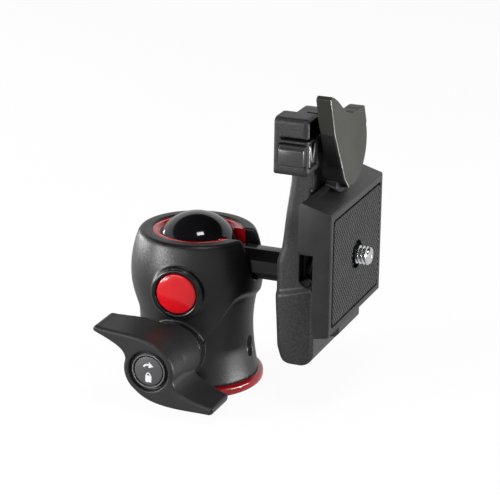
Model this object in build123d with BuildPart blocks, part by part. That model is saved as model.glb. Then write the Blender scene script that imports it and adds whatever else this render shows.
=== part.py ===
from build123d import *
import os
from math import cos, radians, sin, sqrt, tan

# Tripod ball head with a quick-release camera plate. Millimetres, +Z up.
# The origin is the centre of the underside, on the axis of the 3/8-inch tripod thread.
# The neck lies along +X in the drop notch and the locking knob faces -Y.

# ---------------------------------------------------------------- fits
press_gap = 0.02      # pieces pressed or glued together
running_gap = 0.05    # shafts, pins and the ball in their seats
slide_gap = 0.1       # blocks and rings that slide
free_gap = 0.35       # moving pieces that only pass each other
edge_break = 0.4      # chamfer of turned pieces

# ---------------------------------------------------------------- base
base_r = 23.5
base_ring_w = 4.1             # around the base plate
base_ring_h = 3.6
base_ring_round = 1.3
base_plate_r = base_r - base_ring_w
base_plate_h = 3.0
thread_r = 3.97               # 3/8-16 UNC, at the thread crests
thread_bush_r = 8.0
thread_bush_len = 9.0
base_screw_count = 3
base_screw_inset = 5.9        # from the base plate's edge
base_screw_orbit = base_plate_r - base_screw_inset
base_screw_r = 1.5
base_screw_len = 9.0
base_screw_head_r = 2.9
base_screw_head_h = 1.6
drive_r = 1.1                 # hexagon drives of the small screws
drive_depth = 0.6             # of the head's height

# ---------------------------------------------------------------- heights, from the base up
boss_r = 10.5                 # the knob's boss on the housing
boss_rise = 2.6               # from the base ring to the boss
shaft_r = 4.0
shaft_room = 4.1              # wedge and its clearance over the shaft
cup_room = 5.6                # cup under the ball
ball_r = 15.0
knob_z = base_ring_h + boss_rise + boss_r
bore_floor_z = knob_z + shaft_r + shaft_room
ball_z = bore_floor_z + cup_room + ball_r

# ---------------------------------------------------------------- ball and housing
ball_core_r = 4.0
ball_side_room = 0.6
bore_r = ball_r + ball_side_room
housing_wall = 7.25
rim_wall = 5.1
rim_edge_w = 1.3
rim_edge_h = 1.5
belly_taper = 1.05
waist_draw = 2.65
foot_step = 1.7
waist_rise = 0.3              # of the narrowest place over the knob's axis
belly_low_drop = 14.5         # below the ball's centre
belly_drop = 1.9
rim_rise = 7.7
housing_foot_r = base_r - foot_step
housing_belly_r = bore_r + housing_wall
housing_belly_z = ball_z - belly_drop
housing_belly_low_r = housing_belly_r - belly_taper
housing_belly_low_z = ball_z - belly_low_drop
housing_waist_r = housing_belly_r - waist_draw
housing_waist_z = knob_z + waist_rise
rim_r = bore_r + rim_wall
rim_low_z = ball_z + rim_rise
rim_round_r = rim_r - rim_edge_w
rim_z = rim_low_z + rim_edge_h

# collar that holds the ball, with the lining of the drop notch
neck_flats = 10.6             # across the flats of the neck
neck_side_room = 0.9
collar_rise = 1.2
collar_sink = 0.4
collar_lip = 1.2              # slope of the lip beside the ball
collar_lip_h = 0.9
notch_wall = 1.3
lining_inset = 4.2
collar_low_z = ball_z + collar_rise
collar_top_z = rim_z - collar_sink
collar_mouth_z = collar_top_z - collar_lip_h
notch_half = neck_flats / 2 + neck_side_room
notch_lining_r = rim_r - lining_inset

# badge pad on the knob side
badge_gap = 1.8               # between the badge's boss and the knob's
badge_turn = 5.0              # degrees towards +X
badge_r = 7.3
badge_h = 0.9
badge_dome = 0.7
badge_bezel_w = 2.0
badge_boss_proud = 0.85
badge_boss_round = 0.6
badge_boss_r = badge_r + badge_bezel_w
badge_z = knob_z + boss_r + badge_gap + badge_boss_r
badge_boss_y = housing_belly_r + badge_boss_proud
badge_recess = badge_h + badge_dome + slide_gap

# ---------------------------------------------------------------- clamp inside the housing
boss_proud = 0.2
boss_round = 0.4
boss_face_y = max(housing_foot_r, housing_belly_low_r) + boss_proud
bush_wall = 2.0
bush_len = 7.0
bush_r = shaft_r + bush_wall
shaft_end_wall = 2.2
shaft_end_y = housing_waist_r - shaft_end_wall
wedge_angle = 15.0
wedge_wall = 3.0              # beside the shaft
wedge_sole = 1.8              # under the shaft
wedge_back_len = 5.0
wedge_front_len = 8.0
wedge_top_drop = 2.4          # its height on the housing axis, below the ball room
wedge_half_x = shaft_r + wedge_wall
wedge_low_y = -wedge_back_len
wedge_high_y = wedge_front_len
wedge_floor_z = knob_z - shaft_r - wedge_sole
wedge_top_z = bore_floor_z - wedge_top_drop
clip_rim = 1.7
clip_r = shaft_r + clip_rim
clip_h = 1.0
clip_room = 3.0
clip_groove = 0.6
clip_y = wedge_high_y + clip_room
wedge_room_end = 2.5
bush_shoulder = 2.0
wedge_room_low_y = bush_len + bush_shoulder - boss_face_y
wedge_room_high_y = clip_y + clip_h + wedge_room_end
cup_foot_inset = 0.7
cup_foot_half_x = wedge_half_x - cup_foot_inset
cup_foot_half_y = 4.5
cup_side_room = 0.2
cup_r = bore_r - cup_side_room
cup_plate_h = 3.0
cup_drop = 7.9                # of its rim below the ball's centre
cup_top_z = ball_z - cup_drop
cup_hollow_r = 9.0

# ---------------------------------------------------------------- knob
washer_h = 0.6
washer_inset = 2.3
washer_r = boss_r - washer_inset
knob_len = 20.2
knob_front_y = boss_face_y + knob_len
knob_hub_r = 9.2
knob_tip_r = 26.0
knob_tip_depth = 13.5
knob_mid_r = 15.0
knob_mid_depth = 17.3
knob_neck_r = 10.8            # here the wings' backs still pass the badge boss
knob_neck_y = badge_boss_y + badge_boss_r * sin(radians(badge_turn)) + free_gap
knob_edge_round = 1.0
wing_tip_share = 0.43         # of the thinner wing tip's width, the most that its edge is rounded
cap_recess_wall = 2.7
cap_recess_r = knob_hub_r - cap_recess_wall
cap_recess_depth = 1.6
cap_ring_gap = 1.1
cap_r = cap_recess_r - cap_ring_gap
cap_h = 1.2
knob_screw_r = 1.6
knob_screw_head_r = 3.2
knob_screw_head_h = 2.6
knob_screw_len = 14.0
shaft_front_gap = 6.0         # from the recess floor to the shaft's front end

# wedge stop screw in its oval pocket
stop_drop = 2.8               # below the knob's axis
stop_z = knob_z - stop_drop
stop_pocket_half_w = 1.85
stop_pocket_half_h = 3.7
stop_pocket_depth = 1.6
stop_pocket_x = housing_waist_r - stop_pocket_depth
stop_screw_r = 1.6
stop_screw_len = 8.0

# ---------------------------------------------------------------- neck
neck_len = 19.6
neck_sink = 1.0               # of its shoulder into the ball
neck_spigot_step = 0.3
neck_spigot_r = neck_flats / 2 - neck_spigot_step
neck_start_x = 6.0
neck_shoulder_x = ball_r - neck_sink
neck_end_x = neck_shoulder_x + neck_len
neck_tongue_step = 0.7
neck_tongue_r = neck_flats / 2 - neck_tongue_step
neck_tongue_len = 3.0
neck_bolt_r = 3.0
neck_bolt_rim = 2.0
neck_bolt_head_r = neck_bolt_r + neck_bolt_rim
neck_bolt_head_h = 3.2
neck_bolt_sink = 2.0
neck_bolt_start_x = neck_start_x + neck_bolt_sink
neck_washer_h = 0.8
neck_washer_rim = 0.4
neck_washer_r = neck_bolt_head_r + neck_washer_rim
bolt_seat_wall = 2.9          # between the tongue and the washer
bolt_seat_x = neck_end_x + neck_tongue_len + bolt_seat_wall
hex_key_r = 2.3

# ---------------------------------------------------------------- camera plate
rib_depth = 13.0              # of the platform behind the plate
plate_depth = 11.4
plate_rise = 7.8              # of the camera screw over the ball's centre
plate_half_y = 26.25
plate_half_z = 21.25
plate_round = 1.2
plate_z = ball_z + plate_rise
plate_low_z = plate_z - plate_half_z
plate_high_z = plate_z + plate_half_z
foot_back_x = neck_end_x + rib_depth
plate_front_x = foot_back_x + plate_depth
pad_proud = 0.3
pad_sink = 1.2
pad_margin = 2.4
pad_groove = 0.8
pad_front_x = plate_front_x + pad_proud    # rubber face under the camera
pad_floor_x = plate_front_x - pad_sink
flange_h = 6.1
flange_back_x = plate_front_x - flange_h
flank_run = 10.0              # depth of the dovetail flank along X
flank_rise = 3.0              # how far its foot stands out along Z
low_flank_rise = 0.95
low_corner_run = 0.9
low_corner_rise = 3.55
low_corner_x = flange_back_x + low_corner_run
low_corner_z = plate_low_z + low_corner_rise

camera_screw_r = 3.175        # 1/4-20 UNC
camera_screw_reach = 4.9
camera_screw_tip_x = pad_front_x + camera_screw_reach
camera_head_r = 5.9
camera_head_h = 3.2
camera_head_room = 0.4
camera_slot_w = 1.3
camera_slot_depth = 1.4
screw_clip_r = 4.5
screw_clip_h = 0.6
screw_clip_groove = 0.5
pad_hole_r = screw_clip_r + edge_break
foot_low_z = plate_z + camera_head_r + camera_head_room

# ---------------------------------------------------------------- quick-release platform
body_half_y = 14.0
body_round = 1.0
back_top_run = 5.8
back_mid_run = 1.6
back_mid_rise = 10.6
back_low_run = 1.0
body_back_top_x = neck_end_x + back_top_run
body_back_mid_x = neck_end_x + back_mid_run
body_back_mid_z = ball_z + back_mid_rise
body_low_x = neck_end_x + back_low_run
inner_step = 4.2              # depth of the room behind the plate
low_front_step = 1.4
seat_step = 0.5
body_inner_x = foot_back_x - inner_step
body_front_low_x = foot_back_x + low_front_step
seat_low_z = foot_low_z + seat_step

jaw_drop = 6.75               # below the plate
jaw_front_step = 2.6
jaw_ledge_rise = 0.5
jaw_round = 1.5
jaw_low_y = -8.0
jaw_high_y = body_half_y
jaw_low_z = plate_low_z - jaw_drop
jaw_front_x = plate_front_x - jaw_front_step
jaw_ledge_top_z = low_corner_z + jaw_ledge_rise

shoulder_rise = 7.0
shoulder_chamfer = 2.0
shoulder_run = 2.0            # slope at the bottom of the room behind the plate
shoulder_z = jaw_ledge_top_z + shoulder_rise
nose_drop = 10.0              # below the jaw
nose_h = 6.8
nose_round = 4.5
nose_lean = 2.0
nose_z = jaw_low_z - nose_drop
body_low_z = nose_z + nose_h

# lever, its pin and spring
pin_y = -2.0
pin_rise = 16.55              # above the plate
pin_z = plate_high_z + pin_rise
pin_r = 3.0
pin_head_rim = 2.0
pin_head_r = pin_r + pin_head_rim
pin_head_h = 1.6
head_r = 12.0
head_proud = 0.8
head_front_step = 0.4
head_back_x = body_back_top_x - head_proud
head_front_x = foot_back_x + head_front_step
body_top_drop = 5.0
body_top_z = pin_z - body_top_drop
hub_rim = 0.6
hub_r = head_r + hub_rim
spring_gap_x = 2.9            # between the head and the lever
hub_back_x = head_front_x + spring_gap_x
lever_sink = 1.0
lever_front_x = plate_front_x - lever_sink
horn_h = 5.0
horn_back_x = lever_front_x - horn_h
cam_sink = 3.1
cam_front_x = lever_front_x - cam_sink
cam_half_angle = 38.0
pin_cover = 2.5               # of the lever over the pin's end
pin_front_x = lever_front_x - pin_cover
spring_coil_r = 5.2
spring_wire_r = 0.5

# ear with the safety catch
ear_gap = 1.0                 # to the lever's hub
ear_w = 10.4
ear_rise = 14.4
ear_proud = 1.2
ear_front_step = 0.5
ear_round = 1.6
ear_low_x = head_back_x - ear_proud
ear_high_x = hub_back_x - ear_front_step
ear_high_y = pin_y - hub_r - ear_gap
ear_low_y = ear_high_y - ear_w
ear_low_z = body_top_z
ear_high_z = pin_z + ear_rise
catch_back_wall = 2.2
catch_front_wall = 0.8
catch_drop = 1.1
catch_h = 6.9
catch_proud = 1.3
catch_len = 6.8
catch_travel = 2.5
catch_low_x = ear_low_x + catch_back_wall
catch_high_x = ear_high_x - catch_front_wall
catch_low_z = pin_z - catch_drop
catch_out_y = ear_low_y - catch_proud
catch_back_y = catch_out_y + catch_len
catch_spring_r = 1.6
catch_spring_len = 6.0
catch_spring_shift = 1.0
catch_spring_wire_r = 0.3
slit_rise = 1.2               # above the catch
slit_h = 1.0
slit_depth = 1.5
slit_low_z = catch_low_z + catch_h + slit_rise

# trigger pin under the plate
trigger_rise = 8.0
trigger_inset = 7.0           # from the platform's side
trigger_y = body_half_y - trigger_inset
trigger_z = seat_low_z + trigger_rise
trigger_r = 2.0
trigger_len = 4.4
trigger_travel = 1.6
trigger_spring_room = 1.7     # length of the spring when it is pressed
trigger_spring_r = 1.3
trigger_spring_wire_r = 0.25


knob_plane = Plane((0, 0, knob_z), x_dir=(1, 0, 0), z_dir=(0, -1, 0))
badge_out = (sin(radians(badge_turn)), -cos(radians(badge_turn)), 0)
badge_plane = Plane((0, 0, badge_z), x_dir=(-badge_out[1], badge_out[0], 0), z_dir=badge_out)
stop_plane = Plane((0, 0, stop_z), x_dir=(0, 1, 0), z_dir=(1, 0, 0))
neck_plane = Plane((0, 0, ball_z), x_dir=(0, 1, 0), z_dir=(1, 0, 0))
plate_plane = Plane((0, 0, plate_z), x_dir=(0, 1, 0), z_dir=(1, 0, 0))
pin_plane = Plane((0, pin_y, pin_z), x_dir=(0, 1, 0), z_dir=(1, 0, 0))
trigger_plane = Plane((0, trigger_y, trigger_z), x_dir=(0, 1, 0), z_dir=(1, 0, 0))


def circles_of(part, radius):
    """The round edges of a part that have this radius."""
    return part.edges().filter_by(GeomType.CIRCLE).filter_by(lambda e: abs(e.radius - radius) < 1e-4)


def outline(size, shares):
    """Points of an outline, given as shares of a size."""
    return [(across * size, up * size) for across, up in shares]


def coil(wire_r, coil_r, height, turns, plane):
    """A coil spring that stands on a plane."""
    with BuildPart() as spring:
        with BuildLine():
            path = Helix(pitch=height / turns, height=height, radius=coil_r)
        with BuildSketch(Plane(path @ 0, z_dir=path % 0)):
            Circle(wire_r)
        sweep(is_frenet=True)
    return plane.location * spring.part


# ================================================================ base
with BuildPart() as base_ring:
    with BuildSketch():
        Circle(base_r)
        Circle(base_plate_r + press_gap, mode=Mode.SUBTRACT)
    extrude(amount=base_ring_h)
    fillet(circles_of(base_ring, base_r), base_ring_round)

with BuildPart() as thread_bush:
    with BuildSketch():
        Circle(thread_bush_r)
        Circle(thread_r, mode=Mode.SUBTRACT)
    extrude(amount=thread_bush_len)
    chamfer(circles_of(thread_bush, thread_bush_r), edge_break)

with BuildPart() as base_plate:
    with BuildSketch():
        Circle(base_plate_r)
        Circle(thread_bush_r + press_gap, mode=Mode.SUBTRACT)
    extrude(amount=base_plate_h)
    chamfer(circles_of(base_plate, base_plate_r).sort_by(Axis.Z)[0], edge_break)
    with PolarLocations(base_screw_orbit, base_screw_count, start_angle=30):
        with Locations(Location((0, 0, 0), (180, 0, 0))):
            CounterBoreHole(
                base_screw_r + press_gap,
                base_screw_head_r + press_gap,
                base_screw_head_h,
                base_plate_h,
            )


def base_screw(place):
    """One of the screws that hold the base plate to the housing."""
    with BuildPart() as screw:
        with BuildSketch():
            Circle(base_screw_head_r)
        extrude(amount=base_screw_head_h)
        with BuildSketch(Plane.XY.offset(base_screw_head_h)):
            Circle(base_screw_r)
        extrude(amount=base_screw_len - base_screw_head_h)
        with BuildSketch():
            RegularPolygon(drive_r, 6)
        extrude(amount=base_screw_head_h * drive_depth, mode=Mode.SUBTRACT)
    return place * screw.part


screw_places = PolarLocations(base_screw_orbit, base_screw_count, start_angle=30).locations
base_screws = [base_screw(place) for place in screw_places]

# ================================================================ housing
with BuildPart() as notch_solid:
    # the room of the neck in the drop notch
    with BuildSketch(Plane.YZ):
        with BuildLine():
            Polyline(
                (-notch_half, ball_z),
                (-notch_half, rim_z + ball_r),
                (notch_half, rim_z + ball_r),
                (notch_half, ball_z),
            )
            ThreePointArc((notch_half, ball_z), (0, ball_z - notch_half), (-notch_half, ball_z))
        make_face()
    extrude(amount=base_r + 10)


def notch_lining(gap):
    """The collar's lining of the notch before the notch is cut, wider all round by a gap."""
    half = notch_half + notch_wall + gap
    top_z = collar_top_z + gap
    with BuildPart() as lining:
        with BuildSketch(Plane.YZ.offset(neck_shoulder_x - 3)):
            with BuildLine():
                Polyline((-half, ball_z), (-half, top_z), (half, top_z), (half, ball_z))
                ThreePointArc((half, ball_z), (0, ball_z - half), (-half, ball_z))
            make_face()
        extrude(amount=base_r)
        with BuildSketch():
            Circle(notch_lining_r + gap)
        extrude(amount=rim_z + 10, mode=Mode.INTERSECT)
    return lining.part


with BuildPart() as housing:
    with BuildSketch(Plane.XZ):
        with BuildLine():
            foot = Line((0, base_ring_h), (housing_foot_r, base_ring_h))
            waist = ThreePointArc(
                foot @ 1,
                (housing_waist_r, housing_waist_z),
                (housing_belly_low_r, housing_belly_low_z),
            )
            belly = ThreePointArc(waist @ 1, (housing_belly_r, housing_belly_z), (rim_r, rim_low_z))
            edge = TangentArc(belly @ 1, (rim_round_r, rim_z), tangent=belly % 1)
            Polyline(edge @ 1, (0, rim_z), foot @ 0)
        make_face()
    revolve(axis=Axis.Z)
    # knob boss and badge boss
    with BuildSketch(knob_plane):
        Circle(boss_r)
    extrude(amount=boss_face_y)
    with BuildSketch(badge_plane):
        Circle(badge_boss_r)
    extrude(amount=badge_boss_y)
    fillet(circles_of(housing, badge_boss_r).sort_by(Axis((0, 0, 0), badge_out))[-1], badge_boss_round)
    fillet(circles_of(housing, boss_r).sort_by(Axis.Y)[0], boss_round)
    # ball room, open at the top
    with BuildSketch(Plane.XY.offset(bore_floor_z)):
        Circle(bore_r)
    extrude(amount=rim_z, mode=Mode.SUBTRACT)
    # room of the wedge and the cup's foot
    with BuildSketch(Plane.XY.offset(wedge_floor_z - slide_gap)):
        with Locations((0, (wedge_room_low_y + wedge_room_high_y) / 2)):
            Rectangle(2 * (wedge_half_x + slide_gap), wedge_room_high_y - wedge_room_low_y)
    extrude(amount=bore_floor_z, mode=Mode.SUBTRACT)
    # shaft bush bore and the shaft's blind bearing
    with BuildSketch(knob_plane.offset(-shaft_end_y)):
        Circle(shaft_r + running_gap)
    extrude(amount=shaft_end_y + boss_face_y, mode=Mode.SUBTRACT)
    with BuildSketch(knob_plane.offset(boss_face_y - bush_len)):
        Circle(bush_r + press_gap)
    extrude(amount=bush_len + 1, mode=Mode.SUBTRACT)
    # badge recess
    with BuildSketch(badge_plane.offset(badge_boss_y - badge_recess)):
        Circle(badge_r + press_gap)
    extrude(amount=badge_recess + 1, mode=Mode.SUBTRACT)
    # notch, with room for the collar's lining
    add(notch_solid.part, mode=Mode.SUBTRACT)
    add(notch_lining(press_gap), mode=Mode.SUBTRACT)
    # tripod bush, base screws and the stop screw's oval pocket
    with BuildSketch(Plane.XY.offset(base_plate_h)):
        Circle(thread_bush_r + press_gap)
    extrude(amount=thread_bush_len + press_gap - base_plate_h, mode=Mode.SUBTRACT)
    with BuildSketch(Plane.XY.offset(base_plate_h)):
        with PolarLocations(base_screw_orbit, base_screw_count, start_angle=30):
            Circle(base_screw_r + press_gap)
    extrude(amount=base_screw_len + free_gap - base_plate_h, mode=Mode.SUBTRACT)
    with BuildSketch(stop_plane.offset(stop_pocket_x)):
        SlotOverall(2 * stop_pocket_half_h, 2 * stop_pocket_half_w, rotation=90)
    extrude(amount=base_r - stop_pocket_x, mode=Mode.SUBTRACT)
    with BuildSketch(stop_plane.offset(stop_pocket_x)):
        Circle(stop_screw_r + press_gap)
    extrude(amount=-(stop_screw_len + 1), mode=Mode.SUBTRACT)

with BuildPart() as collar_ring:
    collar_r = bore_r - press_gap
    mouth_r = sqrt(ball_r**2 - (collar_mouth_z - ball_z) ** 2)
    with BuildSketch(Plane.XZ):
        with BuildLine():
            Polyline(
                (ball_core_r, collar_low_z),
                (collar_r, collar_low_z),
                (collar_r, collar_top_z),
                (mouth_r + collar_lip, collar_top_z),
                (mouth_r, collar_mouth_z),
                (ball_core_r, collar_mouth_z),
                close=True,
            )
        make_face()
    revolve(axis=Axis.Z)
    add(notch_lining(0))
    with Locations((0, 0, ball_z)):
        Sphere(ball_r + running_gap, mode=Mode.SUBTRACT)
    with BuildSketch(Plane.XY):
        Circle(collar_r)
    extrude(amount=collar_low_z, mode=Mode.SUBTRACT)
    add(notch_solid.part, mode=Mode.SUBTRACT)

with BuildPart() as badge:
    # low disc with a domed face, bare of any mark
    badge_back_y = badge_boss_y - badge_recess
    dome_r = (badge_r**2 + badge_dome**2) / (2 * badge_dome)
    with BuildSketch(badge_plane.offset(badge_back_y)):
        Circle(badge_r)
    extrude(amount=badge_h + badge_dome)
    with Locations(badge_plane.offset(badge_back_y + badge_h + badge_dome - dome_r).location):
        Sphere(dome_r, mode=Mode.INTERSECT)

with BuildPart() as stop_screw:
    with BuildSketch(stop_plane.offset(stop_pocket_x - stop_screw_len)):
        Circle(stop_screw_r)
    extrude(amount=stop_screw_len)
    with BuildSketch(stop_plane.offset(stop_pocket_x)):
        RegularPolygon(drive_r * 0.75, 6)
    extrude(amount=-stop_screw_r, mode=Mode.SUBTRACT)

with BuildPart() as shaft_bush:
    with BuildSketch(knob_plane.offset(boss_face_y - bush_len)):
        Circle(bush_r)
        Circle(shaft_r + running_gap, mode=Mode.SUBTRACT)
    extrude(amount=bush_len)

# ================================================================ clamp
slope = tan(radians(wedge_angle))


def wedge_height(y):
    """Height of the wedge's sloped top at this y."""
    return wedge_top_z + slope * y


with BuildPart() as wedge:
    with BuildSketch(Plane.YZ):
        Polygon(
            (wedge_low_y, wedge_floor_z),
            (wedge_high_y, wedge_floor_z),
            (wedge_high_y, wedge_height(wedge_high_y)),
            (wedge_low_y, wedge_height(wedge_low_y)),
            align=None,
        )
    extrude(amount=wedge_half_x, both=True)
    with BuildSketch(knob_plane.offset(-wedge_high_y)):
        Circle(shaft_r + running_gap)
    extrude(amount=wedge_high_y - wedge_low_y, mode=Mode.SUBTRACT)

with BuildPart() as ball_cup:
    cup_low_z = bore_floor_z + free_gap
    # a sloped foot on the wedge, and a dished cup under the ball
    with BuildSketch(Plane.YZ):
        Polygon(
            (-cup_foot_half_y, wedge_height(-cup_foot_half_y) + press_gap),
            (cup_foot_half_y, wedge_height(cup_foot_half_y) + press_gap),
            (cup_foot_half_y, cup_low_z + cup_plate_h),
            (-cup_foot_half_y, cup_low_z + cup_plate_h),
            align=None,
        )
    extrude(amount=cup_foot_half_x, both=True)
    with BuildSketch(Plane.XY.offset(cup_low_z)):
        Circle(cup_r)
    extrude(amount=cup_top_z - cup_low_z)
    with Locations((0, 0, ball_z)):
        Sphere(ball_r + running_gap, mode=Mode.SUBTRACT)
    with BuildSketch(Plane.XY.offset(cup_low_z + cup_plate_h)):
        Circle(cup_hollow_r)
    extrude(amount=cup_top_z, mode=Mode.SUBTRACT)

# ================================================================ knob
knob_back_y = boss_face_y + washer_h + slide_gap
recess_floor_y = knob_front_y - cap_recess_depth
shaft_front_y = recess_floor_y - shaft_front_gap

with BuildPart() as knob:
    # two swept wings
    upper_side = [
        *outline(knob_tip_r, ((0.9, -0.369), (0.538, -0.285))),
        *outline(knob_hub_r, ((1.022, -0.457), (0.935, 0.152), (0.522, 0.859))),
        *outline(knob_tip_r, ((-0.269, 0.462), (-0.723, 0.504))),
    ]
    lower_side = [
        *outline(knob_tip_r, ((-0.777, 0.431), (-0.5, 0.308))),
        *outline(knob_hub_r, ((-1.0, 0.522), (-0.924, -0.174), (-0.543, -0.848))),
        *outline(knob_tip_r, ((0.288, -0.469), (0.823, -0.481))),
    ]
    left_tip, right_tip = outline(knob_tip_r, ((-0.785, 0.485), (0.892, -0.454)))
    with BuildSketch(knob_plane.offset(knob_back_y)):
        with BuildLine():
            upper = Spline(upper_side)
            lower = Spline(lower_side)
            ThreePointArc(upper @ 1, left_tip, lower @ 0)
            ThreePointArc(lower @ 1, right_tip, upper @ 0)
        make_face()
        Circle(knob_hub_r)
    extrude(amount=knob_front_y - knob_back_y)
    # the wings reach back less than the hub
    with BuildSketch(Plane.XY.offset(knob_z)):
        with BuildLine():
            Polyline(
                (0, -knob_front_y),
                (knob_tip_r, -knob_front_y),
                (knob_tip_r, -knob_front_y + knob_tip_depth),
                (knob_mid_r, -knob_front_y + knob_mid_depth),
                (knob_neck_r, -knob_neck_y),
                (knob_hub_r, -knob_back_y),
                (0, -knob_back_y),
                close=True,
            )
        make_face()
    revolve(axis=Axis((0, 0, knob_z), (0, 1, 0)), mode=Mode.INTERSECT)
    left_tip_w = (Vector(*upper_side[-1]) - Vector(*lower_side[0])).length
    fillet(knob.faces().sort_by(Axis.Y)[0].edges(), min(knob_edge_round, wing_tip_share * left_tip_w))
    # recess for the cap, and the bore for the shaft
    with BuildSketch(knob_plane.offset(recess_floor_y)):
        Circle(cap_recess_r)
    extrude(amount=cap_recess_depth + 1, mode=Mode.SUBTRACT)
    with BuildSketch(knob_plane.offset(knob_back_y)):
        Circle(shaft_r + press_gap)
    extrude(amount=shaft_front_y - knob_back_y + press_gap, mode=Mode.SUBTRACT)
    with BuildSketch(knob_plane.offset(recess_floor_y - knob_screw_head_h)):
        Circle(knob_screw_head_r + press_gap)
    extrude(amount=knob_screw_head_h, mode=Mode.SUBTRACT)
    with BuildSketch(knob_plane.offset(knob_back_y)):
        Circle(knob_screw_r + press_gap)
    extrude(amount=recess_floor_y - knob_back_y, mode=Mode.SUBTRACT)

with BuildPart() as knob_shaft:
    with BuildSketch(knob_plane.offset(-shaft_end_y + press_gap)):
        Circle(shaft_r)
    extrude(amount=shaft_front_y + shaft_end_y - press_gap)
    chamfer(knob_shaft.faces().sort_by(Axis.Y)[-1].edges(), edge_break)
    with BuildSketch(knob_plane.offset(shaft_front_y)):
        Circle(knob_screw_r + press_gap)
    extrude(amount=-(knob_screw_len - shaft_front_gap), mode=Mode.SUBTRACT)
    # groove of the retaining clip
    with BuildSketch(knob_plane.offset(-clip_y - clip_h)):
        Circle(shaft_r + 1)
        Circle(shaft_r - clip_groove, mode=Mode.SUBTRACT)
    extrude(amount=clip_h, mode=Mode.SUBTRACT)

with BuildPart() as shaft_clip:
    with BuildSketch(knob_plane.offset(-clip_y - clip_h + press_gap)):
        Circle(clip_r)
        Circle(shaft_r - clip_groove + press_gap, mode=Mode.SUBTRACT)
    extrude(amount=clip_h - 2 * press_gap)
    with Locations((0, clip_y + clip_h / 2, knob_z - clip_r)):
        Box(2 * (shaft_r - 1), clip_h, 2 * (clip_r - shaft_r) + 3, mode=Mode.SUBTRACT)

with BuildPart() as knob_washer:
    with BuildSketch(knob_plane.offset(boss_face_y + slide_gap / 2)):
        Circle(washer_r)
        Circle(shaft_r + running_gap, mode=Mode.SUBTRACT)
    extrude(amount=washer_h)

with BuildPart() as knob_screw:
    head_y = recess_floor_y - knob_screw_head_h + press_gap
    with BuildSketch(knob_plane.offset(head_y)):
        Circle(knob_screw_head_r)
    extrude(amount=knob_screw_head_h - press_gap)
    with BuildSketch(knob_plane.offset(head_y)):
        Circle(knob_screw_r)
    extrude(amount=-(knob_screw_len - knob_screw_head_h - 1))
    with BuildSketch(knob_plane.offset(recess_floor_y)):
        RegularPolygon(knob_screw_r, 6)
    extrude(amount=-knob_screw_head_h * drive_depth, mode=Mode.SUBTRACT)

with BuildPart() as knob_cap:
    with BuildSketch(knob_plane.offset(recess_floor_y + press_gap)):
        Circle(cap_r)
    extrude(amount=cap_h)
    fillet(knob_cap.faces().sort_by(Axis.Y)[0].edges(), edge_break)

# ================================================================ ball and neck
with BuildPart() as ball:
    with Locations((0, 0, ball_z)):
        Sphere(ball_r)
        Sphere(ball_core_r + running_gap, mode=Mode.SUBTRACT)
    with BuildSketch(neck_plane.offset(neck_start_x - press_gap)):
        Circle(neck_spigot_r + press_gap)
    extrude(amount=ball_r, mode=Mode.SUBTRACT)
    with BuildSketch(neck_plane.offset(neck_shoulder_x)):
        Rectangle(2 * ball_r, 2 * ball_r)
    extrude(amount=ball_r, mode=Mode.SUBTRACT)

with BuildPart() as ball_core:
    with Locations((0, 0, ball_z)):
        Sphere(ball_core_r)

with BuildPart() as neck:
    neck_corner_r = neck_flats / 2 / cos(radians(22.5))
    with BuildSketch(neck_plane.offset(neck_start_x)):
        Circle(neck_spigot_r)
    extrude(amount=neck_shoulder_x - neck_start_x)
    with BuildSketch(neck_plane.offset(neck_shoulder_x + press_gap)):
        RegularPolygon(neck_corner_r, 8, rotation=22.5)
    extrude(amount=neck_end_x - neck_shoulder_x - press_gap)
    with BuildSketch(neck_plane.offset(neck_shoulder_x)):
        Circle(neck_tongue_r)
    extrude(amount=neck_end_x + neck_tongue_len - neck_shoulder_x)
    with BuildSketch(neck_plane.offset(neck_start_x)):
        Circle(neck_bolt_r + running_gap)
    extrude(amount=neck_end_x, mode=Mode.SUBTRACT)

with BuildPart() as neck_bolt:
    bolt_head_x = bolt_seat_x + neck_washer_h + press_gap
    with BuildSketch(neck_plane.offset(neck_bolt_start_x)):
        Circle(neck_bolt_r)
    extrude(amount=bolt_head_x - neck_bolt_start_x)
    chamfer(neck_bolt.faces().sort_by(Axis.X)[0].edges(), edge_break)
    with BuildSketch(neck_plane.offset(bolt_head_x)):
        Circle(neck_bolt_head_r)
    extrude(amount=neck_bolt_head_h)
    with BuildSketch(neck_plane.offset(bolt_head_x + neck_bolt_head_h)):
        RegularPolygon(hex_key_r, 6)
    extrude(amount=-neck_bolt_head_h * drive_depth, mode=Mode.SUBTRACT)

with BuildPart() as neck_washer:
    with BuildSketch(neck_plane.offset(bolt_seat_x)):
        Circle(neck_washer_r)
        Circle(neck_bolt_r + running_gap, mode=Mode.SUBTRACT)
    extrude(amount=neck_washer_h)

# ================================================================ camera plate
flank_slope = flank_rise / flank_run


def flank_z(x):
    """Height of the upper dovetail flank at this depth."""
    return plate_high_z + flank_slope * (plate_front_x - x)


def low_flank_z(x):
    """Height of the lower edge, which leans a little outward towards its back."""
    return plate_low_z - low_flank_rise * (plate_front_x - x) / (plate_front_x - low_corner_x)


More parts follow.
